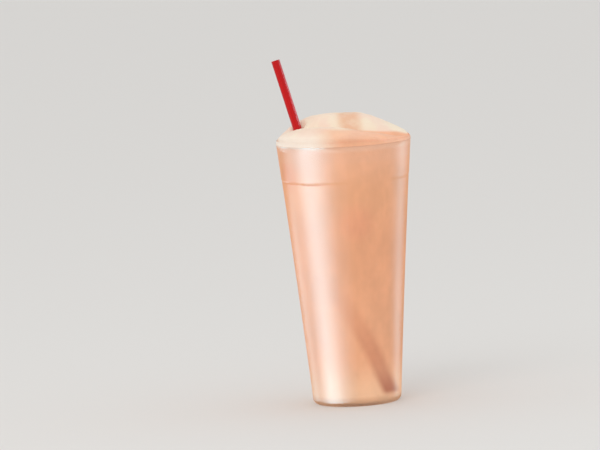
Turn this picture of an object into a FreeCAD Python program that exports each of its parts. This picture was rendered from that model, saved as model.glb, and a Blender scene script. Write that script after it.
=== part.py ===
"""A tall tapered tumbler of peach drink, heaped with froth above its lip, and its straw.

Millimetres. +Z is up, the origin is the centre of the circle that the glass stands on,
and -Y is the front. Each function below makes one solid, and each solid is one STEP file.
"""
import FreeCAD
import Part
import math
import os

V = FreeCAD.Vector
UP = V(0, 0, 1)

# Glass: a round tumbler, wider at the lip, with a stacking ring high on its wall.
GLASS_H = 176.0         # height of the lip
LIP_R = 45.0            # outside radius at the lip
FOOT_R = 29.4           # outside radius where the wall would meet the table
WALL_SAG = 0.45         # how far the wall's line bows inward, half way up
WALL = 1.9              # thickness of the wall
FLOOR_Z = 3.0           # top of the glass floor
FLOOR_CORNER_R = 4.5    # inside corner between the floor and the wall
HEEL_R = 4.0            # outside rounding between the foot and the wall
PUSH_UP_R = 23.0        # radius of the hollow under the foot
PUSH_UP_H = 0.9         # depth of that hollow
RING_Z = 150.8          # height of the stacking ring
RING_H = 1.8            # height of the ring's slope
RING_STEP = 0.16        # how far the wall steps in below the ring

# Drink and froth: the froth starts a little below the lip and is heaped above it.
DRINK_TOP = 164.0       # height where the drink ends and the froth starts
FROTH_OVER_LIP = 0.15   # bare width of the lip outside the froth
FROTH_CAP_H = 24.0      # height of the round cap that trims the heap at the lip
FROTH_STEP = 3.0        # spacing of the points that the heap's surface goes through

# The heap's back mound, a dome with a steep left end and a long slope to the right.
MOUND_X, MOUND_Y = -0.4, 10.0
MOUND_H = 17.3
MOUND_LEFT, MOUND_RIGHT = 44.7, 37.7
MOUND_SHOULDER = 9.7    # level stretch before the slope to the right starts
MOUND_FRONT, MOUND_BACK = 23.0, 36.0
LEFT_STEEPNESS = 3.1    # power of the fall towards each end and side
RIGHT_STEEPNESS = 1.32
SIDE_STEEPNESS = 2.0

# The heap's front roll, a fold that follows the front of the lip from left to right.
ROLL_R = 28.0           # distance of its crest from the glass's axis
ROLL_H = 11.4           # its greatest height, left of the middle
ROLL_PEAK = -32.0       # bearing of that height, in degrees from the front, right positive
ROLL_IN, ROLL_OUT = 11.0, 19.0      # widths of the fold inside and outside its crest
ROLL_REACH = 0.78       # share of its bearing that the fall of its crest follows
ROLL_DROP = 0.9         # share of its height lost across those widths
CREASE_BLEND = 2.5      # height over which two folds run into each other
LEVEL_H = 0.5           # height of the froth above the lip where it isn't heaped
LEVEL_BLEND = 2.0

# A furrow in the heap, from the straw's foot towards the front.
FURROW_FROM = (-30.0, 6.0)
FURROW_TO = (-15.0, -12.0)
FURROW_DEPTH = 2.8
FURROW_HALF_W = 6.0

# A runnel from the top of the mound down to the front, where the drink wells through.
RUNNEL_FROM = (6.0, 8.0)
RUNNEL_TO = (14.0, -24.0)
RUNNEL_DEPTH = 1.0
RUNNEL_HALF_W = 7.0

# Straw: one straight tube, from the floor's right front to above the lip at the left.
STRAW_R = 2.85
STRAW_BORE_R = 2.55
STRAW_FOOT = V(16.4, -14.0, 8.6)
STRAW_END = V(-42.2, 11.6, 230.2)


def outer_r(z):
    """Outside radius of the glass above the ring, and of the wall's own line below it."""
    t = z / GLASS_H
    return FOOT_R + (LIP_R - FOOT_R) * t - 4 * WALL_SAG * t * (1 - t)


def inner_r(z):
    """Inside radius of the glass."""
    return outer_r(z) - WALL


def profile_point(r, z):
    return V(r, 0, z)


def line(a, b):
    return Part.LineSegment(a, b).toShape()


def arc(a, mid, b):
    return Part.Arc(a, mid, b).toShape()


def wall_line(radius_at, z_low, z_high):
    """A bowed stretch of wall between two heights."""
    heights = (z_low, (z_low + z_high) / 2, z_high)
    return arc(*[profile_point(radius_at(z), z) for z in heights])


def rounding(centre, radius, degrees_from, degrees_to):
    """An arc about a centre, its angles measured upwards from the outward direction."""
    angles = (degrees_from, (degrees_from + degrees_to) / 2, degrees_to)
    points = []
    for degrees in angles:
        turn = math.radians(degrees)
        points.append(centre + profile_point(math.cos(turn), math.sin(turn)) * radius)
    return arc(*points)


def revolved(edges):
    """The closed solid that a profile of edges makes when turned about the glass's axis."""
    wire = Part.Wire(Part.__sortEdges__(edges))
    solid = Part.Face(wire).revolve(V(0, 0, 0), UP, 360)
    return Part.Solid(solid.Shells[0]) if solid.ShapeType != "Solid" else solid


def taper_degrees(radius_at, z):
    """How far the wall leans outward at a height."""
    return math.degrees(math.atan(radius_at(z + 0.5) - radius_at(z - 0.5)))


def bottom_corner(radius_at, radius, floor_z):
    """The rounding between a flat floor and a wall, and the heights where it ends."""
    lean = taper_degrees(radius_at, floor_z + radius)
    top_z = floor_z + radius * (1 - math.sin(math.radians(lean)))
    centre_r = radius_at(top_z) - radius * math.cos(math.radians(lean))
    corner = rounding(profile_point(centre_r, floor_z + radius), radius, -90, -lean)
    return corner, centre_r, top_z


def below_ring_r(z):
    return outer_r(z) - RING_STEP


def inside_edges(z_top):
    """The inside of the glass from the middle of its floor up to a height."""
    corner, corner_r, corner_z = bottom_corner(inner_r, FLOOR_CORNER_R, FLOOR_Z)
    floor = line(profile_point(0, FLOOR_Z), profile_point(corner_r, FLOOR_Z))
    return [floor, corner, wall_line(inner_r, corner_z, z_top)]


def make_glass():
    heel, heel_r, heel_z = bottom_corner(below_ring_r, HEEL_R, 0)
    ring_low = RING_Z - RING_H / 2
    ring_high = RING_Z + RING_H / 2
    lip_r = WALL / 2
    lip_z = GLASS_H - lip_r
    hollow_mid_r = PUSH_UP_R / 2
    edges = inside_edges(lip_z)
    edges += [
        arc(profile_point(0, PUSH_UP_H), profile_point(hollow_mid_r, PUSH_UP_H * 0.75),
            profile_point(PUSH_UP_R, 0)),
        line(profile_point(PUSH_UP_R, 0), profile_point(heel_r, 0)),
        heel,
        wall_line(below_ring_r, heel_z, ring_low),
        line(profile_point(below_ring_r(ring_low), ring_low),
             profile_point(outer_r(ring_high), ring_high)),
        wall_line(outer_r, ring_high, lip_z),
        rounding(profile_point(outer_r(lip_z) - lip_r, lip_z), lip_r, 0, 180),
        line(profile_point(0, PUSH_UP_H), profile_point(0, FLOOR_Z)),
    ]
    return revolved(edges)


def straw_cylinder(radius):
    along = STRAW_END - STRAW_FOOT
    return Part.makeCylinder(radius, along.Length, STRAW_FOOT, along)


def make_straw():
    return straw_cylinder(STRAW_R).cut(straw_cylinder(STRAW_BORE_R))


def make_drink(straw):
    """The drink fills the glass up to the froth, round the straw and inside it."""
    top_r = inner_r(DRINK_TOP)
    edges = inside_edges(DRINK_TOP)
    edges.append(line(profile_point(top_r, DRINK_TOP), profile_point(0, DRINK_TOP)))
    edges.append(line(profile_point(0, DRINK_TOP), profile_point(0, FLOOR_Z)))
    return revolved(edges).cut(straw)


def smooth_max(a, b, blend):
    """The larger of two heights, with the crease between them rounded."""
    near = max(blend - abs(a - b), 0) / blend
    return max(a, b) + near * near * blend / 4


def mound_height(x, y):
    along, across = x - MOUND_X, y - MOUND_Y
    left_end = (max(-along, 0) / MOUND_LEFT) ** LEFT_STEEPNESS
    right_slope = (max(along - MOUND_SHOULDER, 0) / MOUND_RIGHT) ** RIGHT_STEEPNESS
    side = (abs(across) / (MOUND_FRONT if across < 0 else MOUND_BACK)) ** SIDE_STEEPNESS
    return MOUND_H * (1 - left_end - right_slope - side)


def roll_height(x, y):
    radius = math.hypot(x, y)
    bearing = math.degrees(math.atan2(x, -y))
    crest = ROLL_H * math.cos(math.radians((bearing - ROLL_PEAK) * ROLL_REACH))
    across = (radius - ROLL_R) / (ROLL_OUT if radius > ROLL_R else ROLL_IN)
    return crest * (1 - ROLL_DROP * across * across) if crest > 0 else crest


def groove_depth(x, y, start, end, depth, half_w):
    """How deep a straight groove is at a place, by the distance to its nearest point."""
    run_x, run_y = end[0] - start[0], end[1] - start[1]
    dx, dy = x - start[0], y - start[1]
    share = (dx * run_x + dy * run_y) / (run_x * run_x + run_y * run_y)
    share = min(max(share, 0), 1)
    away = math.hypot(dx - share * run_x, dy - share * run_y) / half_w
    return depth * math.exp(-away * away)


def froth_height(x, y):
    """Height of the heap above the lip's plane."""
    folds = smooth_max(mound_height(x, y), roll_height(x, y), CREASE_BLEND)
    furrow = groove_depth(x, y, FURROW_FROM, FURROW_TO, FURROW_DEPTH, FURROW_HALF_W)
    runnel = groove_depth(x, y, RUNNEL_FROM, RUNNEL_TO, RUNNEL_DEPTH, RUNNEL_HALF_W)
    return smooth_max(folds - furrow - runnel, LEVEL_H, LEVEL_BLEND)


def froth_mould():
    """The room that the froth fills: inside the glass, over its lip and under a round cap."""
    edge_r = LIP_R - FROTH_OVER_LIP
    neck_z = GLASS_H - WALL / 2
    neck_r = inner_r(neck_z)
    cap = Part.Ellipse(profile_point(edge_r, GLASS_H), profile_point(0, GLASS_H + FROTH_CAP_H),
                       profile_point(0, GLASS_H))
    edges = [
        wall_line(inner_r, DRINK_TOP, neck_z),
        line(profile_point(neck_r, neck_z), profile_point(edge_r, neck_z)),
        line(profile_point(edge_r, neck_z), profile_point(edge_r, GLASS_H)),
        Part.ArcOfEllipse(cap, 0, math.pi / 2).toShape(),
        line(profile_point(0, GLASS_H + FROTH_CAP_H), profile_point(0, DRINK_TOP)),
        line(profile_point(0, DRINK_TOP), profile_point(inner_r(DRINK_TOP), DRINK_TOP)),
    ]
    return revolved(edges)


def make_froth(glass):
    """The heap under its folded surface, trimmed to the glass and cut round the straw."""
    half = math.ceil(LIP_R / FROTH_STEP) + 1
    places = [step * FROTH_STEP for step in range(-half, half + 1)]
    rows = []
    for x in places:
        rows.append([V(x, y, GLASS_H + froth_height(x, y)) for y in places])
    surface = Part.BSplineSurface()
    surface.interpolate(rows)
    depth = GLASS_H - DRINK_TOP + 2 * FROTH_CAP_H
    under_surface = surface.toShape().extrude(V(0, 0, -depth))
    froth = under_surface.common(froth_mould())
    return froth.cut(glass).cut(straw_cylinder(STRAW_R))


def save(name, shape):
    solids = shape.Solids
    solid = max(solids, key=lambda piece: piece.Volume)
    print(name, "solids", len(solids), "cm3", round(solid.Volume / 1000, 2), "valid", solid.isValid())
    solid.exportStep(f"parts/{name}.step")


os.makedirs("parts", exist_ok=True)
glass = make_glass()
straw = make_straw()
save("glass", glass)
save("drink", make_drink(straw))
save("froth", make_froth(glass))
save("straw", straw)
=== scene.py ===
# %% [markdown]
# # A peach drink in a tall tumbler
#
# This lesson gives each of the four pieces a finished surface. All lengths are in metres, +Z
# is up and the front is towards -Y.

import math

import bmesh
import bpy
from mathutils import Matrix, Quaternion, Vector


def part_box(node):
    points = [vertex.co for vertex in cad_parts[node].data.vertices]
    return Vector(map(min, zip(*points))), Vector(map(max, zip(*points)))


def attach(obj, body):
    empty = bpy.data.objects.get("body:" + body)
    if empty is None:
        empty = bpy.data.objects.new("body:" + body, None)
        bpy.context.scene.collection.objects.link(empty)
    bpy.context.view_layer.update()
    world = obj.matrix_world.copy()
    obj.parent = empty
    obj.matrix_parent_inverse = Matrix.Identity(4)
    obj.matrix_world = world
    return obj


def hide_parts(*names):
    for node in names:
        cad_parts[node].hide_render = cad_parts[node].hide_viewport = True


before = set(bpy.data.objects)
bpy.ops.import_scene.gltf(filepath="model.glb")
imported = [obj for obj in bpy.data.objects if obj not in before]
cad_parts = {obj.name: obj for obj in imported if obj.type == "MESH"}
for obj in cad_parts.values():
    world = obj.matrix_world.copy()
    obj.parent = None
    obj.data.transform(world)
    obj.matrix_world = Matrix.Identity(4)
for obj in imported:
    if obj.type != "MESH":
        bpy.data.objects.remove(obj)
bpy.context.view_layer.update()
MM = 0.001
print("frame:", sorted(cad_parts))

# %% [markdown]
# ## Sizes that the pieces share
#
# A glass is round, so a few numbers read from the frame's boxes say nearly all about it: its
# height, its radius at the lip, and where the drink ends and the froth starts.

# %% Read the main sizes from the frame
glass_low, glass_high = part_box("glass")
drink_low, drink_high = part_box("drink")
straw_low, straw_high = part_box("straw")

lip_z = glass_high[2]
lip_r = (glass_high[0] - glass_low[0]) / 2
floor_z = drink_low[2]
froth_z = drink_high[2]
heap_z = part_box("froth")[1][2]
print("lip at", round(lip_z, 4), "radius", round(lip_r, 4), "froth from", round(froth_z, 4))

# %% [markdown]
# ## Small tools
#
# Every operator acts on what is selected, so each step starts by selecting exactly one thing.
# These helpers do that, and finish a piece: modifiers applied, edges shaded smooth up to an
# angle, and the origin left where the frame has it.

# %% Helpers for selecting and finishing
def only(piece):
    if bpy.context.object and bpy.context.object.mode != "OBJECT":
        bpy.ops.object.mode_set(mode="OBJECT")
    bpy.ops.object.select_all(action="DESELECT")
    piece.select_set(True)
    bpy.context.view_layer.objects.active = piece


def edit(piece):
    only(piece)
    bpy.ops.object.mode_set(mode="EDIT")
    bpy.ops.mesh.select_mode(type="VERT")


def apply_modifiers(piece):
    only(piece)
    for modifier in list(piece.modifiers):
        bpy.ops.object.modifier_apply(modifier=modifier.name)


def finish_piece(piece, smooth_degrees=180):
    only(piece)
    bpy.ops.object.transform_apply(location=True, rotation=True, scale=True)
    bpy.ops.object.shade_smooth_by_angle(angle=math.radians(smooth_degrees))
    print(piece.name, len(piece.data.polygons), "faces")
    return piece

# %% [markdown]
# A glass is made by turning, and so is the shape of what fills it. The profile is drawn as a
# chain of points, from the axis out and back to the axis, by extruding one vertex after
# another. `spin` then sweeps it round. The first and last points are on the axis, and merging
# doubles closes the seam and both poles.

# %% Turn a profile into a closed round piece
SIDES = 160


def turned(name, profile):
    start_r, start_z = profile[0]
    bpy.ops.mesh.primitive_plane_add(size=MM, location=(start_r, 0, start_z))
    piece = bpy.context.object
    piece.name = name
    bpy.ops.object.transform_apply(location=True, rotation=True, scale=True)
    edit(piece)
    bpy.ops.mesh.select_all(action="SELECT")
    bpy.ops.mesh.merge(type="CENTER")
    r_before, z_before = start_r, start_z
    for r, z in profile[1:]:
        step = (r - r_before, 0, z - z_before)
        bpy.ops.mesh.extrude_region_move(TRANSFORM_OT_translate={"value": step})
        r_before, z_before = r, z
    bpy.ops.mesh.select_all(action="SELECT")
    bpy.ops.mesh.spin(steps=SIDES, angle=math.tau, center=(0, 0, 0), axis=(0, 0, 1))
    bpy.ops.mesh.select_all(action="SELECT")
    bpy.ops.mesh.remove_doubles(threshold=0.01 * MM)
    bpy.ops.mesh.normals_make_consistent(inside=False)
    bpy.ops.object.mode_set(mode="OBJECT")
    return piece


def arc_points(centre, radius, start, end, count):
    """Points of an arc, its angles in degrees measured upwards from the outward direction."""
    points = []
    for step in range(count + 1):
        turn = math.radians(start + (end - start) * step / count)
        points.append((centre[0] + radius * math.cos(turn), centre[1] + radius * math.sin(turn)))
    return points

# %% [markdown]
# ## The wall's line
#
# Everything round follows one line: the tumbler's wall, which leans out from the foot to the
# lip and bows in by less than half a millimetre on the way.

# %% The wall's radius at a height
wall_t = 1.9 * MM
foot_r = 29.4 * MM
wall_sag = 0.45 * MM


def wall_r(z):
    share = z / lip_z
    return foot_r + (lip_r - foot_r) * share - 4 * wall_sag * share * (1 - share)


def inside_r(z):
    return wall_r(z) - wall_t


def wall_points(radius_at, z_from, z_to, count):
    """Points up a wall, with one more close to each end, so that roundings don't shade the wall."""
    heights = [z_from + (z_to - z_from) * step / count for step in range(count + 1)]
    close = math.copysign(0.15 * MM, z_to - z_from)
    heights.insert(1, z_from + close)
    heights.insert(-1, z_to - close)
    return [(radius_at(z), z) for z in heights]


print("wall at mid height:", round(wall_r(lip_z / 2) / MM, 2), "mm")

# %% [markdown]
# ## The tumbler
#
# The frame's glass has the right shape, but its surface is made of flat triangles, which show
# as bands where glass bends a reflection. So the tumbler is turned again from the same sizes
# with more and smoother steps: a hollowed foot, a rounded heel, a stacking ring where the wall
# steps in, a full round lip, and the inside down to its rounded floor.

# %% Model the tumbler
ring_z = 150.8 * MM
ring_h = 1.8 * MM
ring_step = 0.16 * MM
ring_groove = 0.19 * MM
heel_r = 4.0 * MM
corner_r = 4.5 * MM
push_up_r = 23.0 * MM
push_up_h = 0.9 * MM


def below_ring_r(z):
    return wall_r(z) - ring_step


def bottom_corner(radius_at, radius, base_z, count):
    """The rounding from a level floor into the leaning wall, from the floor outward."""
    slope = (radius_at(base_z + radius + MM) - radius_at(base_z + radius)) / MM
    lean = math.atan(slope)
    top_z = base_z + radius * (1 - math.sin(lean))
    centre = (radius_at(top_z) - radius * math.cos(lean), base_z + radius)
    return arc_points(centre, radius, -90, -math.degrees(lean), count)


def ring_points(count):
    """The soft step at the stacking ring, with a shallow groove under it."""
    points = []
    for step in range(count + 1):
        share = step / count
        z = ring_z + ring_h * (share - 0.5)
        ease = share * share * (3 - 2 * share)
        groove = ring_groove * math.sin(math.pi * share) ** 2
        points.append((wall_r(z) - ring_step * (1 - ease) - groove, z))
    return points


def make_tumbler():
    hollow = [(push_up_r * step / 8, push_up_h * math.cos(math.pi * step / 16) ** 2) for step in range(9)]
    heel = bottom_corner(below_ring_r, heel_r, 0, 10)
    ring = ring_points(10)
    lip_half = wall_t / 2
    lip = arc_points((lip_r - lip_half, lip_z - lip_half), lip_half, 0, 180, 14)
    inner_corner = bottom_corner(inside_r, corner_r, floor_z, 10)
    profile = hollow + heel
    profile += wall_points(below_ring_r, heel[-1][1], ring[0][1], 24)[1:-1]
    profile += ring
    profile += wall_points(wall_r, ring[-1][1], lip[0][1], 6)[1:-1]
    profile += lip
    profile += wall_points(inside_r, lip[-1][1], inner_corner[-1][1], 28)[1:-1]
    profile += inner_corner[::-1]
    profile.append((0, floor_z))
    return turned("tumbler", profile)


tumbler = finish_piece(make_tumbler())
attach(tumbler, "root")
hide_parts("glass")

# %% [markdown]
# ## The drink
#
# If the drink only touched the glass, rounding would leave slivers of air between them, and
# glass shows each one as a silver patch. So the drink reaches a third of a millimetre into the
# wall and the floor. Light then meets glass and, behind it, drink, as it does in a real one.

# %% Model the drink
bite = 0.35 * MM


def filled_r(z):
    return inside_r(z) + bite


def make_drink():
    corner = bottom_corner(filled_r, corner_r, floor_z - bite, 10)
    profile = [(0, floor_z - bite)]
    profile += corner
    profile += wall_points(filled_r, corner[-1][1], froth_z, 24)[1:]
    profile.append((0, froth_z))
    return turned("peach_drink", profile)


drink = finish_piece(make_drink(), 60)
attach(drink, "root")
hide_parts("drink")

# %% [markdown]
# ## The froth
#
# The froth starts as a ring inside the glass, which is extruded up the wall and out over the
# lip, which it covers as a thin skin. The top is filled with a grid of even squares, which takes
# folds better than a fan of slices. A Shrinkwrap modifier then lays that grid on the frame's
# heap, and Displace modifiers add what a CAD surface doesn't hold: swells, lumps and pits.

# %% Model the froth's body and its even cap
FROTH_SIDES = 384
skirt_degrees = (2, 30, 47)     # how far up the lip's outside the skin's rings lie
skirt_t = 0.12 * MM             # thickness of the skin over the lip
rim_insets = [0.16 * MM, 0.4 * MM, 0.8 * MM, 1.4 * MM]
# Close under the lip the froth takes up more and more of the wall's thickness.
swollen = [(lip_z - 1.7 * MM, 0.45), (lip_z - 1.2 * MM, 0.7), (lip_z - 0.8 * MM, 0.86)]


def ring_step_to(radius_now, radius_next, rise):
    """Extrude the selected ring of edges upwards and scale it to its next radius."""
    bpy.ops.mesh.extrude_region_move(TRANSFORM_OT_translate={"value": (0, 0, rise)})
    scale = radius_next / radius_now
    bpy.ops.transform.resize(value=(scale, scale, 1))
    return radius_next


def lip_point(degrees, over):
    """A place over the lip's round top, by its angle up from the outward direction."""
    turn = math.radians(degrees)
    reach = wall_t / 2 + over
    return lip_r - wall_t / 2 + reach * math.cos(turn), lip_z - wall_t / 2 + reach * math.sin(turn)


def make_froth_body():
    radius = filled_r(froth_z)
    bpy.ops.mesh.primitive_circle_add(vertices=FROTH_SIDES, radius=radius, fill_type="NOTHING",
                                      location=(0, 0, froth_z))
    piece = bpy.context.object
    piece.name = "froth_heap"
    bpy.ops.object.transform_apply(location=True, rotation=True, scale=True)
    edit(piece)
    bpy.ops.mesh.select_all(action="SELECT")
    neck_z = lip_z - wall_t
    heights = [froth_z + (neck_z - froth_z) * step / 6 for step in range(1, 6)]
    rings = [(filled_r(z), z) for z in heights]
    rings += [(inside_r(z) + wall_t * share, z) for z, share in swollen]
    rings += [lip_point(degrees, skirt_t) for degrees in skirt_degrees]
    edge_r, edge_z = rings[-1]
    rings += [(edge_r - inset, edge_z) for inset in rim_insets]
    z = froth_z
    for next_r, next_z in rings:
        radius = ring_step_to(radius, next_r, next_z - z)
        z = next_z
    bpy.ops.mesh.fill_grid(span=FROTH_SIDES // 4)
    bpy.ops.object.mode_set(mode="OBJECT")
    return piece, z


froth, cap_z = make_froth_body()
print("froth body reaches", round(cap_z, 5))

# %% [markdown]
# The froth closes round the straw, so the straw's place is needed first. A leaning tube fills
# its box from corner to corner, and the middle of each end lies a little inside its corner. How
# far in depends on the lean, and the lean on the two ends, so the sum is done a few times over.

# %% Where the straw runs
straw_r = 2.85 * MM


def straw_ends():
    """The middle of each end, worked out from the box that the leaning tube fills."""
    foot = Vector((straw_high[0], straw_low[1], straw_low[2]))
    end = Vector((straw_low[0], straw_high[1], straw_high[2]))
    toward = Vector((-1, 1, 1))
    for _ in range(4):
        along = (end - foot).normalized()
        inset = [straw_r * math.sqrt(1 - part * part) * sign for part, sign in zip(along, toward)]
        foot = Vector((straw_high[0], straw_low[1], straw_low[2])) + Vector(inset)
        end = Vector((straw_low[0], straw_high[1], straw_high[2])) - Vector(inset)
    return foot, end


straw_foot, straw_end = straw_ends()
straw_along = (straw_end - straw_foot).normalized()
print("straw foot", [round(v / MM, 1) for v in straw_foot])

# %% [markdown]
# The Shrinkwrap modifier projects each point of the cap straight up onto the frame's heap. A
# vertex group says which points it moves: all of the cap but its edge, which stays on the lip.

# %% Lay the cap on the frame's heap
def group_where(piece, name, weight_at):
    group = piece.vertex_groups.new(name=name)
    for vertex in piece.data.vertices:
        weight = weight_at(vertex.co)
        if weight > 0:
            group.add([vertex.index], weight, "REPLACE")


def inside_edge(point):
    """1 on the cap, and 0 on its edge, which stays on the lip."""
    radius = math.hypot(point.x, point.y)
    on_cap = abs(point.z - cap_z) < 0.02 * MM
    return 1.0 if on_cap and radius < froth_rim_r - 0.1 * MM else 0.0


cap_points = [v.co for v in froth.data.vertices if abs(v.co.z - cap_z) < 0.02 * MM]
froth_rim_r = max(math.hypot(point.x, point.y) for point in cap_points)
group_where(froth, "heap", inside_edge)
lay = froth.modifiers.new("lay on the heap", "SHRINKWRAP")
lay.wrap_method = "PROJECT"
lay.use_project_z = True
lay.use_positive_direction = True
lay.use_negative_direction = False
lay.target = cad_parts["froth"]
lay.vertex_group = "heap"
apply_modifiers(froth)
print("froth top at", round(max(v.co.z for v in froth.data.vertices), 4))

# %% [markdown]
# The frame's heap has a hole where the straw goes through, so a few points of the grid land
# inside it. They are put in a second group, and a Smooth modifier that works on that group only
# draws the froth across the hole like a skin. The straw then goes through the skin.

# %% Draw a skin of froth across the straw's hole
def heap_height_near(piece, centre, reach):
    heights = []
    for vertex in piece.data.vertices:
        away = math.hypot(vertex.co.x - centre.x, vertex.co.y - centre.y)
        if reach * 0.6 < away < reach and vertex.co.z > cap_z:
            heights.append(vertex.co.z)
    return sum(heights) / len(heights)


def straw_at(z):
    return straw_foot + straw_along * ((z - straw_foot.z) / straw_along.z)


entry = straw_at(heap_z)
for _ in range(4):
    entry = straw_at(heap_height_near(froth, entry, 3 * straw_r))
print("straw enters the froth at", [round(v / MM, 1) for v in entry])


def skin_weight(point):
    away = math.hypot(point.x - entry.x, point.y - entry.y)
    return 1.0 if away < 1.8 * straw_r and point.z > cap_z - MM else 0.0


group_where(froth, "skin", skin_weight)
skin = froth.modifiers.new("skin", "SMOOTH")
skin.iterations = 60
skin.factor = 0.6
skin.vertex_group = "skin"
apply_modifiers(froth)

# %% [markdown]
# Froth that stands round a straw climbs it a little. With one point beside the straw chosen,
# `translate` with proportional editing lifts that point and, less and less, all those near it.

# %% Lift the froth round the straw
collar_h = 0.7 * MM
collar_r = 3.0 * straw_r


def lift_near(piece, centre, height, reach):
    edit(piece)
    bpy.ops.mesh.select_all(action="DESELECT")
    mesh = bmesh.from_edit_mesh(piece.data)
    nearest = min((v for v in mesh.verts if v.co.z > cap_z), key=lambda v: (v.co - centre).length)
    nearest.select = True
    mesh.select_flush_mode()
    bmesh.update_edit_mesh(piece.data)
    bpy.ops.transform.translate(value=(0, 0, height), use_proportional_edit=True,
                                proportional_edit_falloff="SMOOTH", proportional_size=reach)
    bpy.ops.object.mode_set(mode="OBJECT")


lift_near(froth, entry, collar_h, collar_r)

# %% [markdown]
# A Subdivision Surface makes the grid fine enough for relief. Three Displace modifiers then work
# from large to small: slow swells, soft lumps, and the pits that burst bubbles leave. They act
# on the cap only, so the froth stays snug against the glass.

# %% Froth relief
def relief(piece, name, grain, depth):
    """A Displace modifier on the cap, whose texture has its grain and depth in real lengths."""
    texture = bpy.data.textures.new(name, type="CLOUDS")
    texture.noise_scale = grain
    push = piece.modifiers.new(name, "DISPLACE")
    push.texture = texture
    push.texture_coords = "LOCAL"
    push.strength = depth
    push.mid_level = 0.5
    push.vertex_group = "heap"
    return texture


def refine(piece):
    smooth = piece.modifiers.new("finer", "SUBSURF")
    smooth.levels = 1
    smooth.render_levels = 1
    apply_modifiers(piece)


refine(froth)
relief(froth, "swells", 11 * MM, 0.7 * MM)
lumps = relief(froth, "lumps", 3.6 * MM, 0.45 * MM)
lumps.noise_depth = 2
relief(froth, "pits", 1.1 * MM, 0.16 * MM)
apply_modifiers(froth)
print("froth top with relief at", round(max(v.co.z for v in froth.data.vertices), 4))

# %% [markdown]
# The froth is still open below, because a flat bottom would have been rounded off when the
# mesh was refined. Its one open edge is now filled with a single face, which closes the solid.

# %% Close the froth's flat bottom
edit(froth)
bpy.ops.mesh.select_all(action="DESELECT")
bpy.ops.mesh.select_non_manifold()
bpy.ops.mesh.edge_face_add()
bpy.ops.mesh.select_all(action="SELECT")
bpy.ops.mesh.normals_make_consistent(inside=False)
froth = finish_piece(froth, 70)
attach(froth, "root")
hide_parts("froth")

# %% [markdown]
# ## The straw
#
# A drinking straw is a thin tube cut square at both ends. A bare circle is extruded to the
# straw's length, Solidify gives it a wall that grows inward, and a small Bevel takes the
# sharpness off the cut rims. Then the tube is turned to its lean and its place is applied.

# %% Model the straw
STRAW_SIDES = 48
straw_wall = 0.3 * MM


def make_straw():
    bpy.ops.object.select_all(action="DESELECT")
    bpy.ops.mesh.primitive_circle_add(vertices=STRAW_SIDES, radius=straw_r, fill_type="NOTHING")
    piece = bpy.context.object
    piece.name = "straw_tube"
    length = (straw_end - straw_foot).length
    edit(piece)
    bpy.ops.mesh.select_all(action="SELECT")
    bpy.ops.mesh.extrude_region_move(TRANSFORM_OT_translate={"value": (0, 0, length)})
    bpy.ops.mesh.select_all(action="SELECT")
    bpy.ops.mesh.normals_make_consistent(inside=False)
    bpy.ops.object.mode_set(mode="OBJECT")
    wall = piece.modifiers.new("wall", "SOLIDIFY")
    wall.thickness = straw_wall
    wall.offset = -1
    rims = piece.modifiers.new("rims", "BEVEL")
    rims.width = straw_wall * 0.3
    rims.segments = 2
    rims.limit_method = "ANGLE"
    apply_modifiers(piece)
    piece.rotation_mode = "QUATERNION"
    piece.rotation_quaternion = straw_along.to_track_quat("Z", "Y")
    piece.location = straw_foot
    return piece


straw = finish_piece(make_straw(), 40)
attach(straw, "root")
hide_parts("straw")

# %% [markdown]
# ## Building materials from small parts
#
# A material is a network of nodes. These helpers add one node each and give back its output, so
# a network can be written like a sum. Any input takes either a plain value or another output.

# %% Node helpers
def put(tree, value, socket):
    if isinstance(value, bpy.types.NodeSocket):
        tree.links.new(value, socket)
    else:
        socket.default_value = value


def maths(tree, operation, *values):
    node = tree.nodes.new("ShaderNodeMath")
    node.operation = operation
    for value, socket in zip(values, node.inputs):
        put(tree, value, socket)
    return node.outputs[0]


def product(tree, first, *others):
    for other in others:
        first = maths(tree, "MULTIPLY", first, other)
    return first


def vector_maths(tree, operation, *values):
    node = tree.nodes.new("ShaderNodeVectorMath")
    node.operation = operation
    for value, socket in zip(values, node.inputs):
        put(tree, value, socket)
    return node.outputs[1] if operation in ("DOT_PRODUCT", "LENGTH", "DISTANCE") else node.outputs[0]


def eased(tree, value, low, high, start=0.0, end=1.0):
    """Goes smoothly from start to end while the value goes from low to high."""
    node = tree.nodes.new("ShaderNodeMapRange")
    node.interpolation_type = "SMOOTHSTEP"
    for given, name in ((value, "Value"), (low, "From Min"), (high, "From Max"),
                        (start, "To Min"), (end, "To Max")):
        put(tree, given, node.inputs[name])
    return node.outputs["Result"]


def mixed(tree, share, first, second):
    node = tree.nodes.new("ShaderNodeMix")
    node.data_type = "RGBA"
    put(tree, share, node.inputs[0])
    put(tree, first, node.inputs[6])
    put(tree, second, node.inputs[7])
    return node.outputs[2]

# %% [markdown]
# Patterns come from a noise texture that is read at a place on the piece. A bump map turns such
# a pattern into small relief without changing the mesh. Colours are written as a screen shows
# them and are then made linear, which is what a shader works with.

# %% Pattern and colour helpers
def noise(tree, place, scale, detail=2.0):
    node = tree.nodes.new("ShaderNodeTexNoise")
    for given, name in ((place, "Vector"), (scale, "Scale"), (detail, "Detail")):
        put(tree, given, node.inputs[name])
    return node.outputs["Fac"]


def stretched(tree, place, scale):
    return vector_maths(tree, "MULTIPLY", place, scale)


def scaled(tree, vector, factor):
    node = tree.nodes.new("ShaderNodeVectorMath")
    node.operation = "SCALE"
    put(tree, vector, node.inputs[0])
    put(tree, factor, node.inputs["Scale"])
    return node.outputs[0]


def bumped(tree, height, strength, distance):
    node = tree.nodes.new("ShaderNodeBump")
    for given, name in ((strength, "Strength"), (distance, "Distance"), (height, "Height")):
        put(tree, given, node.inputs[name])
    return node.outputs["Normal"]


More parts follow.
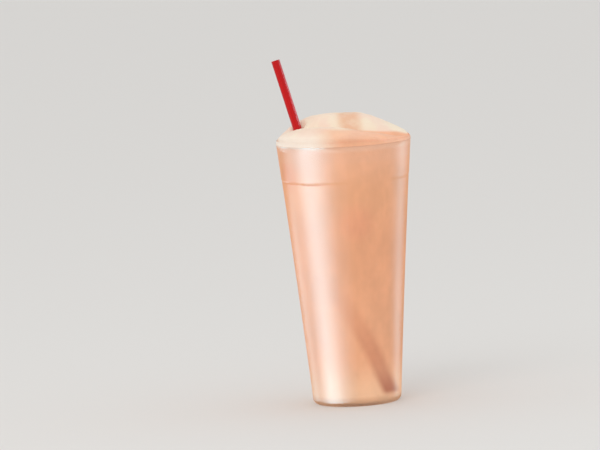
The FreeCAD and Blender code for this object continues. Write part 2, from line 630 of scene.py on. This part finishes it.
def here(tree):
    """The place on the piece, in metres in the frame's own axes."""
    return tree.nodes.new("ShaderNodeTexCoord").outputs["Object"]


def parts_of(tree, place):
    node = tree.nodes.new("ShaderNodeSeparateXYZ")
    put(tree, place, node.inputs[0])
    return node.outputs


def shown(red, green, blue):
    """A linear colour from the 0 to 255 values that a screen shows."""
    linear = []
    for value in (red, green, blue):
        share = value / 255
        linear.append(share / 12.92 if share <= 0.04045 else ((share + 0.055) / 1.055) ** 2.4)
    return (*linear, 1.0)

# %% [markdown]
# A new material comes with a Principled shader in it. A node group is a part of a network that
# is built once. Its named inputs and outputs are made on its interface, and each material that
# needs it places it with its own values.

# %% Material and group helpers
def new_material(name, piece):
    print("material:", name)
    material = bpy.data.materials.new(name)
    material.use_nodes = True
    piece.data.materials.clear()
    piece.data.materials.append(material)
    shader = material.node_tree.nodes["Principled BSDF"]
    return material.node_tree, shader


def new_group(name, inputs, outputs):
    """A node group with named sockets, and the node that holds its inputs."""
    group = bpy.data.node_groups.new(name, "ShaderNodeTree")
    for label, kind in inputs:
        group.interface.new_socket(name=label, in_out="INPUT", socket_type="NodeSocket" + kind)
    for label, kind in outputs:
        group.interface.new_socket(name=label, in_out="OUTPUT", socket_type="NodeSocket" + kind)
    return group, group.nodes.new("NodeGroupInput").outputs, group.nodes.new("NodeGroupOutput").inputs


def placed(tree, group, **values):
    """Places a group in a material. Each value goes to the input of that name."""
    node = tree.nodes.new("ShaderNodeGroup")
    node.node_tree = group
    for name, value in values.items():
        put(tree, value, node.inputs[name])
    return node.outputs

# %% [markdown]
# ## The peach colour
#
# The drink is milk and peach, thick enough to hide what is behind it. Its colour isn't even: it
# is paler near the foot, where light comes in through the thick glass, deepest at mid height,
# and pinker under the froth, with slow clouds where it was stirred. The froth's lower part,
# behind the glass, has the same colour, so both materials use this one group.

# %% A group for the peach colour
def colour_ramp(tree, value, stops):
    node = tree.nodes.new("ShaderNodeValToRGB")
    ramp = node.color_ramp
    ramp.interpolation = "EASE"
    while len(ramp.elements) < len(stops):
        ramp.elements.new(0.5)
    for element, (position, colour) in zip(ramp.elements, stops):
        element.position = position
        element.color = colour
    put(tree, value, node.inputs[0])
    return node.outputs[0]


peach_foot = shown(250, 198, 158)
peach_low = shown(243, 175, 133)
peach_mid = shown(241, 170, 127)
peach_high = shown(243, 174, 130)
peach_rim = shown(244, 180, 142)


def make_peach_group():
    group, given, made = new_group("peach_colour", [("Place", "Vector"), ("Cloud", "Float")],
                                   [("Color", "Color")])
    height = maths(group, "DIVIDE", parts_of(group, given["Place"])["Z"], lip_z)
    base = colour_ramp(group, height, [(0.03, peach_foot), (0.2, peach_low), (0.62, peach_mid),
                                       (0.8, peach_high), (0.98, peach_rim)])
    slow = noise(group, stretched(group, given["Place"], (1, 1, 0.55)), 48, 3.0)
    fine = noise(group, stretched(group, given["Place"], (1, 1, 0.7)), 210, 3.0)
    cloud = maths(group, "ADD", product(group, slow, 0.75), product(group, fine, 0.25))
    lighter = eased(group, cloud, 0.3, 0.7, -0.1, 0.1)
    shade = maths(group, "MULTIPLY_ADD", lighter, given["Cloud"], 1)
    put(group, scaled(group, base, shade), made["Color"])
    return group


peach_colour = make_peach_group()
print("groups:", [group.name for group in bpy.data.node_groups])

# %% [markdown]
# The drink and the froth both have small round spots: flecks of pulp and tiny bubbles. A
# Voronoi texture gives the distance to the nearest of many scattered points, and a soft step
# turns that distance into one spot round each point. Both materials use it, each with its own
# spacing and size, so it is a group as well.

# %% A group for small round spots
def make_spots_group():
    group, given, made = new_group("small_spots",
                                   [("Place", "Vector"), ("Spacing", "Float"), ("Size", "Float")],
                                   [("Mask", "Float")])
    cells = group.nodes.new("ShaderNodeTexVoronoi")
    put(group, given["Place"], cells.inputs["Vector"])
    put(group, maths(group, "DIVIDE", 1, given["Spacing"]), cells.inputs["Scale"])
    rim = maths(group, "DIVIDE", given["Size"], given["Spacing"])
    middle = product(group, rim, 0.4)
    put(group, eased(group, cells.outputs["Distance"], middle, rim, 1, 0), made["Mask"])
    return group


small_spots = make_spots_group()
print("groups:", [group.name for group in bpy.data.node_groups])

# %% [markdown]
# The drink also shows the straw inside it, as a painted shadow: a soft brown line in the drink's
# colour that fades as the straw goes deeper. The round glass bends the view, so the line leans a
# little more than the straw does, and it curves away, widens and weakens higher up. Tiny bubbles
# and flecks of fruit pulp lie against the glass, and in two places the drink has a faint blush.

# %% The drink's material
# The straw's painted shadow: where its line runs, how it bends and fades, and its brown.
straw_slope = (straw_end.x - straw_foot.x) / (straw_end.z - straw_foot.z)
ghost_slope = straw_slope * 1.31
ghost_foot_x = straw_foot.x + 5.2 * MM
ghost_bend_h = 60 * MM
ghost_bend = 5.2 * MM
ghost_top_z = 100 * MM
ghost_strength = 0.42
ghost_half_w = 2.6 * straw_r
ghost_widening = 0.05
tip_h = 18 * MM
tip_strength = 0.33
straw_shadow_brown = shown(172, 72, 40)
blush = shown(236, 128, 108)
# Each blush has a middle, a reach and a strength.
blushes = [(Vector((5, -38, 124)) * MM, 17 * MM, 0.16), (Vector((-36, -18, 156)) * MM, 15 * MM, 0.2)]
# Each kind of spot has a spacing, a size, a strength and a colour.
pulp = (5.5 * MM, 0.5 * MM, 0.35, shown(214, 132, 84))
bubbles = (3.1 * MM, 0.32 * MM, 0.4, shown(250, 222, 200))


def straw_shadow(tree, place):
    """How strongly the straw's painted shadow shows at a place on the front of the drink."""
    axes = parts_of(tree, place)
    up = maths(tree, "SUBTRACT", axes["Z"], straw_foot.z)
    line_x = maths(tree, "MULTIPLY_ADD", up, ghost_slope, ghost_foot_x)
    higher = maths(tree, "MAXIMUM", maths(tree, "DIVIDE", up, ghost_bend_h), 0)
    line_x = maths(tree, "MULTIPLY_ADD", maths(tree, "POWER", higher, 3), -ghost_bend, line_x)
    away = maths(tree, "ABSOLUTE", maths(tree, "SUBTRACT", axes["X"], line_x))
    half_w = maths(tree, "MULTIPLY_ADD", up, ghost_widening, ghost_half_w)
    line = eased(tree, away, product(tree, half_w, 0.25), half_w, 1, 0)
    fade = eased(tree, axes["Z"], straw_foot.z + 8 * MM, ghost_top_z, ghost_strength, 0)
    tip = eased(tree, axes["Z"], straw_foot.z, straw_foot.z + tip_h, tip_strength, 0)
    end = eased(tree, axes["Z"], straw_foot.z - 4 * MM, straw_foot.z + 1 * MM)
    front = eased(tree, axes["Y"], 0, -8 * MM)
    return product(tree, line, maths(tree, "ADD", fade, tip), end, front)


def make_drink_material(piece):
    tree, shader = new_material("peach_drink", piece)
    place = here(tree)
    colour = placed(tree, peach_colour, Place=place, Cloud=0.8)["Color"]
    for spacing, size, strength, tint in (pulp, bubbles):
        spots = placed(tree, small_spots, Place=place, Spacing=spacing, Size=size)["Mask"]
        colour = mixed(tree, product(tree, spots, strength), colour, tint)
    for centre, reach, strength in blushes:
        away = vector_maths(tree, "DISTANCE", place, centre)
        colour = mixed(tree, eased(tree, away, 0.2 * reach, reach, strength, 0), colour, blush)
    # Paint the straw's shadow over the drink's colour.
    colour = mixed(tree, straw_shadow(tree, place), colour, straw_shadow_brown)
    put(tree, colour, shader.inputs["Base Color"])
    put(tree, eased(tree, noise(tree, place, 160), 0.3, 0.7, 0.42, 0.58), shader.inputs["Roughness"])
    shader.inputs["Specular IOR Level"].default_value = 0.12
    put(tree, bumped(tree, noise(tree, place, 420), 0.2, 0.2 * MM), shader.inputs["Normal"])


make_drink_material(drink)

# %% [markdown]
# The froth is beaten milk: full of air, so paler than the drink. At the right, the lower face of
# the front fold keeps the drink's peach, up to the fold's crest. At the right end that edge drops
# to meet the glass, and towards the middle it goes soft. Each pair below says where along X
# something changes, or from what to what. The functions give masks: values from 0 to 1.

# %% Masks for the froth's peach face, its painted highlight and its painted lip light
crest_x = (-10 * MM, 36 * MM)
crest_rise = (6.3 * MM, 3.6 * MM)
drop_x = (34 * MM, 43 * MM)
drop = (0, 1.7 * MM)
soft_x = (-10 * MM, 18 * MM)
softness = (2.6 * MM, 1.1 * MM)
all_cream_x = (-24 * MM, 3 * MM)


def froth_line(tree, axes):
    """0 on the front's lower face at the right, which keeps the drink's peach, 1 elsewhere."""
    rise = maths(tree, "SUBTRACT", axes["Z"], lip_z)
    sloped = maths(tree, "MULTIPLY_ADD", axes["Y"], 0.1, rise)
    crest = eased(tree, axes["X"], *crest_x, *crest_rise)
    edge = maths(tree, "SUBTRACT", crest, eased(tree, axes["X"], *drop_x, *drop))
    soft = eased(tree, axes["X"], *soft_x, *softness)
    over = maths(tree, "DIVIDE", maths(tree, "SUBTRACT", sloped, edge), soft)
    left = eased(tree, axes["X"], *all_cream_x, 1, 0)
    return maths(tree, "MAXIMUM", eased(tree, over, -1, 1), left)


def cream_share(tree, axes):
    """0 where the froth has the drink's peach, 1 where it is cream."""
    high = eased(tree, axes["Z"], lip_z, lip_z + 8 * MM, 0, 0.3)
    out_of_glass = eased(tree, axes["Z"], lip_z - 2.5 * MM, lip_z - 0.8 * MM)
    return product(tree, maths(tree, "MAXIMUM", froth_line(tree, axes), high), out_of_glass)


def painted_highlight_share(tree, axes):
    """A painted highlight, strongest low down at the front left, and 0 at the right and the back."""
    low = eased(tree, axes["Z"], lip_z + 2 * MM, lip_z + 10 * MM, 0.9, 0)
    left = eased(tree, axes["X"], -20 * MM, 0, 1, 0)
    return product(tree, low, left, eased(tree, axes["Y"], 0, -10 * MM))


def painted_lip_light_share(tree, axes):
    """A band of painted light just under the lip, over the shade there, weaker at the left."""
    foot = eased(tree, axes["Z"], lip_z - 6 * MM, lip_z - 2 * MM)
    top = eased(tree, axes["Z"], lip_z - 1.1 * MM, lip_z - 0.5 * MM, 0.7, 0)
    return product(tree, foot, top, eased(tree, axes["X"], -18 * MM, -6 * MM, 0.3, 1))

# %% [markdown]
# The froth's colour is laid in fields over the drink's own peach: cream with a pink cloud, a
# painted highlight at the front left, a band of painted light over the shade under the lip, and
# a tan streak that comes down from the mound. Its bubbles are finer than the mesh, so a bump
# map adds them.

# %% The froth's material
cream = shown(244, 227, 203)
cream_pink = shown(244, 218, 198)
# The colour of the froth's painted highlight at the front left.
froth_painted_highlight = shown(252, 236, 221)
# The colour of the painted light that lifts the shade just under the lip.
froth_painted_light = shown(255, 203, 172)
froth_tan = shown(232, 178, 140)
tan_streak_from = Vector((4, 9, 0)) * MM
tan_streak_to = Vector((6, -24, 0)) * MM


def near_line(tree, place, start, end, inner, outer):
    """1 near a straight line seen from above, 0 beyond its outer distance."""
    run = end - start
    flat = vector_maths(tree, "MULTIPLY", place, (1, 1, 0))
    from_start = vector_maths(tree, "SUBTRACT", flat, start)
    share = maths(tree, "DIVIDE", vector_maths(tree, "DOT_PRODUCT", from_start, run), run.length_squared)
    share = maths(tree, "MAXIMUM", maths(tree, "MINIMUM", share, 1), 0)
    away = vector_maths(tree, "DISTANCE", from_start, scaled(tree, run, share))
    return eased(tree, away, inner, outer, 1, 0)


def make_froth_material(piece):
    tree, shader = new_material("peach_froth", piece)
    place = here(tree)
    axes = parts_of(tree, place)
    peach = placed(tree, peach_colour, Place=place, Cloud=0.7)["Color"]
    pinkness = noise(tree, place, 55, 2.0)
    top = mixed(tree, eased(tree, pinkness, 0.4, 0.62), cream, cream_pink)
    # Paint a highlight low on the froth at the front left.
    top = mixed(tree, painted_highlight_share(tree, axes), top, froth_painted_highlight)
    colour = mixed(tree, cream_share(tree, axes), peach, top)
    # Paint light over the shade just under the lip.
    colour = mixed(tree, painted_lip_light_share(tree, axes), colour, froth_painted_light)
    tan_streak = near_line(tree, place, tan_streak_from, tan_streak_to, 3 * MM, 11 * MM)
    patchy = eased(tree, noise(tree, place, 140), 0.25, 0.6, 0.44, 0.76)
    colour = mixed(tree, product(tree, tan_streak, patchy), colour, froth_tan)
    put(tree, colour, shader.inputs["Base Color"])
    put(tree, eased(tree, noise(tree, place, 300), 0.3, 0.7, 0.45, 0.65), shader.inputs["Roughness"])
    shader.inputs["Specular IOR Level"].default_value = 0.3
    large = placed(tree, small_spots, Place=place, Spacing=1.3 * MM, Size=0.6 * MM)["Mask"]
    small = placed(tree, small_spots, Place=place, Spacing=0.7 * MM, Size=0.35 * MM)["Mask"]
    pits = product(tree, maths(tree, "ADD", large, small), 0.5)
    grain = maths(tree, "SUBTRACT", noise(tree, place, 900, 3.0), pits)
    put(tree, bumped(tree, grain, 0.35, 0.25 * MM), shader.inputs["Normal"])


make_froth_material(froth)

# %% [markdown]
# ## Glass
#
# The glass is clear, so its material is a Principled shader with full transmission. Lamps can't
# be aimed through bent glass without much noise, so for shadow and diffuse rays the glass
# becomes transparent, which lets light fall on the drink. Clear glass mirrors most at its
# edges, where a soft lamp would burn out to white from the side. So towards the edges a share
# of the shader is plain Refraction, which has no mirror image. Pressed glass also has slow
# waves in its surface, and fine scuffs where it stands.

# %% The glass's material
glass_ior = 1.5
edge_dulling = 0.88


def between(tree, share, first, second):
    """A node that mixes two shaders."""
    node = tree.nodes.new("ShaderNodeMixShader")
    put(tree, share, node.inputs[0])
    put(tree, first.outputs[0], node.inputs[1])
    put(tree, second.outputs[0], node.inputs[2])
    return node


def make_glass_material(piece):
    tree, shader = new_material("clear_glass", piece)
    place = here(tree)
    axes = parts_of(tree, place)
    shader.inputs["Base Color"].default_value = (0.985, 0.992, 0.988, 1)
    shader.inputs["Transmission Weight"].default_value = 1
    shader.inputs["IOR"].default_value = glass_ior
    foot = eased(tree, axes["Z"], 0, 3 * MM, 1, 0)
    scuffs = eased(tree, noise(tree, stretched(tree, place, (1, 1, 6)), 900, 4.0), 0.5, 0.7)
    rough = maths(tree, "MULTIPLY_ADD", product(tree, scuffs, foot), 0.1, 0.012)
    put(tree, rough, shader.inputs["Roughness"])
    waves = noise(tree, stretched(tree, place, (1, 1, 0.4)), 30, 1.0)
    wavy = bumped(tree, waves, 0.06, 1.0 * MM)
    put(tree, wavy, shader.inputs["Normal"])
    bent = tree.nodes.new("ShaderNodeBsdfRefraction")
    for value, name in ((rough, "Roughness"), (glass_ior, "IOR"), (wavy, "Normal")):
        put(tree, value, bent.inputs[name])
    facing = tree.nodes.new("ShaderNodeLayerWeight").outputs["Facing"]
    back = tree.nodes.new("ShaderNodeNewGeometry").outputs["Backfacing"]
    dulling = eased(tree, facing, 0.2, 0.8, 0, edge_dulling)
    edge = product(tree, dulling, maths(tree, "SUBTRACT", 1, back))
    glass = between(tree, edge, shader, bent)
    path = tree.nodes.new("ShaderNodeLightPath").outputs
    lamp_light = maths(tree, "MAXIMUM", path["Is Shadow Ray"], path["Is Diffuse Ray"])
    clear = tree.nodes.new("ShaderNodeBsdfTransparent")
    choice = between(tree, lamp_light, glass, clear)
    put(tree, choice.outputs[0], tree.nodes["Material Output"].inputs["Surface"])


make_glass_material(tumbler)

# %% [markdown]
# ## The red straw
#
# The straw is drawn plastic, so it has faint lines along its length. The pattern's place is
# turned to the straw's lean by a Mapping node and then squeezed along it.

# %% The straw's material
straw_red = shown(198, 6, 8)
straw_dark = shown(184, 6, 10)


def make_straw_material(piece):
    tree, shader = new_material("red_plastic", piece)
    turn = tree.nodes.new("ShaderNodeMapping")
    turn.vector_type = "POINT"
    turn.inputs["Rotation"].default_value = straw_along.to_track_quat("Z", "Y").inverted().to_euler()
    put(tree, here(tree), turn.inputs["Vector"])
    lines = noise(tree, stretched(tree, turn.outputs[0], (1, 1, 0.02)), 1500, 2.0)
    colour = mixed(tree, eased(tree, lines, 0.35, 0.65), straw_dark, straw_red)
    put(tree, colour, shader.inputs["Base Color"])
    put(tree, eased(tree, lines, 0.3, 0.7, 0.26, 0.34), shader.inputs["Roughness"])
    put(tree, bumped(tree, lines, 0.1, 0.1 * MM), shader.inputs["Normal"])
    shader.inputs["Specular IOR Level"].default_value = 0.26


make_straw_material(straw)

# %% [markdown]
# ## Stage
#
# A wide pale floor and a pale world stand for a studio sweep. The world is dimmer to the camera
# and in reflections than it is as a light, so the glass mirrors no glare while the drink and
# the froth get enough soft light. Reflections leave out the floor, because most of the glowing
# cards of the next step hang lower than it lies.

# %% Floor and world
floor_white = shown(222, 220, 217)
room_white = 0.64
ambient = 0.92


def make_floor():
    bpy.ops.object.select_all(action="DESELECT")
    bpy.ops.mesh.primitive_plane_add(size=60, location=(0, 0, 0))
    piece = bpy.context.object
    piece.name = "floor"
    shader = new_material("pale_floor", piece)[1]
    shader.inputs["Base Color"].default_value = floor_white
    shader.inputs["Roughness"].default_value = 0.9
    shader.inputs["Specular IOR Level"].default_value = 0.1
    piece.visible_glossy = False


def make_world():
    world = bpy.data.worlds.new("studio")
    bpy.context.scene.world = world
    world.use_nodes = True
    tree = world.node_tree
    path = tree.nodes.new("ShaderNodeLightPath").outputs
    seen = maths(tree, "MAXIMUM", path["Is Camera Ray"], path["Is Glossy Ray"])
    seen = maths(tree, "MAXIMUM", seen, path["Is Transmission Ray"])
    strength = maths(tree, "MULTIPLY_ADD", seen, room_white - ambient, ambient)
    background = tree.nodes["Background"]
    background.inputs["Color"].default_value = (1, 1, 1, 1)
    put(tree, strength, background.inputs["Strength"])


make_floor()
make_world()
print("floor and world made")

# %% [markdown]
# ## Lamps
#
# One large soft lamp high at the front left shapes the froth and gives the shadow. The long
# highlight on the glass is the mirror image of a tall softbox at the left, and a second, low
# one widens it over the glass's lower half. Others behind brighten the glass's two edges and
# the straw's right side. Each is a card with soft edges that only reflections see, so it
# doesn't change how the drink is lit. The glass's wall leans out, so it mirrors what is below
# it, and all but the straw's card hang low.

# %% Lamps and cards
def make_lamp(name, place, size, power):
    lamp = bpy.data.lights.new(name, "AREA")
    lamp.shape = "DISK"
    lamp.size = size
    lamp.energy = power
    holder = bpy.data.objects.new(name, lamp)
    bpy.context.scene.collection.objects.link(holder)
    holder.location = place
    holder.rotation_mode = "QUATERNION"
    holder.rotation_quaternion = (Vector((0, 0, lip_z / 2)) - Vector(place)).to_track_quat("-Z", "Y")
    holder.visible_glossy = False
    holder.visible_camera = False


daylight = (0.52, 0.86, 1.0, 1)
widest_degrees = 72     # no card reaches further to either side, seen from the glass


def make_card(name, bearing, spread, low, high, fades, strength, distance=1.0):
    """A glowing card that faces the glass from a bearing in degrees right of the front.

    Its glow falls off to both sides like a bell, by the angle seen from the glass, and fades
    out towards its foot and its top over the two lengths given.
    """
    turn = math.radians(bearing)
    half_width = distance * math.tan(math.radians(min(2 * spread, widest_degrees)))
    place = (distance * math.sin(turn), -distance * math.cos(turn), (low + high) / 2)
    bpy.ops.object.select_all(action="DESELECT")
    bpy.ops.mesh.primitive_plane_add(size=1, location=place, rotation=(math.pi / 2, 0, turn))
    card = bpy.context.object
    card.name = name
    card.scale = (2 * half_width, high - low, 1)
    tree = new_material(name, card)[0]
    on_card = parts_of(tree, here(tree))
    angle = maths(tree, "ARCTANGENT", product(tree, on_card["X"], 2 * half_width / distance))
    share = maths(tree, "DIVIDE", angle, math.radians(spread))
    bell = maths(tree, "EXPONENT", product(tree, share, share, -1))
    foot_fade, top_fade = [fade / (high - low) for fade in fades]
    foot = eased(tree, on_card["Y"], -0.5, foot_fade - 0.5, 0, strength)
    top = eased(tree, on_card["Y"], 0.5 - top_fade, 0.5, 1, 0)
    lit = tree.nodes.new("ShaderNodeEmission")
    lit.inputs["Color"].default_value = daylight
    put(tree, product(tree, bell, foot, top), lit.inputs["Strength"])
    clear = tree.nodes.new("ShaderNodeBsdfTransparent")
    both = tree.nodes.new("ShaderNodeAddShader")
    put(tree, lit.outputs[0], both.inputs[0])
    put(tree, clear.outputs[0], both.inputs[1])
    put(tree, both.outputs[0], tree.nodes["Material Output"].inputs["Surface"])
    card.visible_camera = False
    card.visible_diffuse = False
    card.visible_transmission = False
    card.visible_shadow = False


make_lamp("key", (-0.9, -2.0, 2.0), size=1.8, power=14)
make_card("tall_softbox", -66, 34, low=-1.0, high=-0.035, fades=(0.3, 0.04), strength=10.4)
make_card("low_softbox", -50, 36, low=-0.52, high=-0.2, fades=(0.1, 0.12), strength=1.6)
make_card("left_edge_softbox", -136, 23, low=-0.36, high=0.02, fades=(0.12, 0.1), strength=5.2)
make_card("right_edge_softbox", 124, 21, low=-0.28, high=0.15, fades=(0.14, 0.15), strength=3.6)
make_card("straw_softbox", 98, 22, low=0.26, high=1.0, fades=(0.1, 0.1), strength=9, distance=1.2)

# %% [markdown]
# ## Camera
#
# The camera is a long lens a little above the lip's height, so the lip shows as a thin ellipse.
# It looks at a place left of the glass and is rolled slightly, which makes the glass lean.

# %% Camera
lens = 400
camera_distance = 4.444
camera_height_degrees = 6
roll_degrees = -3.2
looked_at = Vector((-31.896 * MM, 0, 0.6847 * lip_z))


def make_camera():
    height = math.radians(camera_height_degrees)
    back = Vector((0, -math.cos(height), math.sin(height)))
    camera = bpy.data.objects.new("camera", bpy.data.cameras.new("camera"))
    bpy.context.scene.collection.objects.link(camera)
    camera.data.lens = lens
    camera.data.clip_end = 200
    camera.location = looked_at + back * camera_distance
    camera.rotation_mode = "QUATERNION"
    roll = Quaternion((0, 0, 1), math.radians(roll_degrees))
    camera.rotation_quaternion = (-back).to_track_quat("-Z", "Y") @ roll
    bpy.context.scene.camera = camera
    print("camera at", [round(v, 3) for v in camera.location])


make_camera()
bpy.context.scene.view_settings.view_transform = "Standard"
